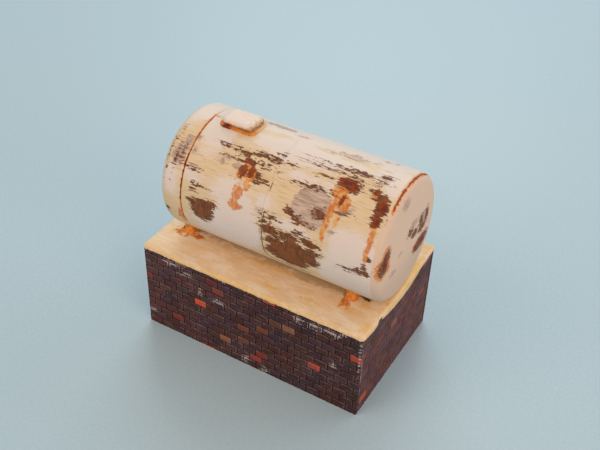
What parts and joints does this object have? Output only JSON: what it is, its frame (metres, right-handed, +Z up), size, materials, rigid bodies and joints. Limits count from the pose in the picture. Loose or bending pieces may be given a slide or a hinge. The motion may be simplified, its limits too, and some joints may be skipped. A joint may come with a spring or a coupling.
{
  "type": "model storage tank on a brick plinth",
  "caption": "Scenic model of a horizontal storage tank with a pull-off end cap and a top hatch, lying on stub feet on a brick-faced rectangular plinth.",
  "frame": {"origin": "middle of the object's footprint, on the plinth's underside", "axes": "+X along the tank towards its closed end, +Y towards the back, +Z up"},
  "size_m": [0.091, 0.057, 0.086],
  "materials": {
    "timber": "bare sawn softwood",
    "painted_brick": "matte dry-brushed paint on embossed sheet",
    "ground_filler": "matte painted filler",
    "tank_paint": "matte weathered cream paint",
    "plate_paint": "matte weathered cream paint",
    "hatch_paint": "matte cream paint",
    "rust_paint": "matte rust-coloured paint"
  },
  "bodies": {
    "plinth_and_tub": {"base_core": "timber", "brick_panel_front": "painted_brick", "brick_panel_right": "painted_brick", "brick_panel_back": "painted_brick", "brick_panel_left": "painted_brick", "ground_top": "ground_filler", "tank_body": "tank_paint", "wrap_plate": "plate_paint", "hatch_flange": "rust_paint", "hatch_lid": "hatch_paint", "foot_front_left": "rust_paint", "foot_front_right": "rust_paint", "foot_rear_left": "rust_paint", "foot_rear_right": "rust_paint"},
    "cap": {"end_cap": "tank_paint"}
  },
  "joints": [
    {"name": "cap_pull", "type": "slide", "parent": "plinth_and_tub", "child": "cap", "axis": [-1, 0, 0], "range_m": [0, 0.03]}
  ]
}
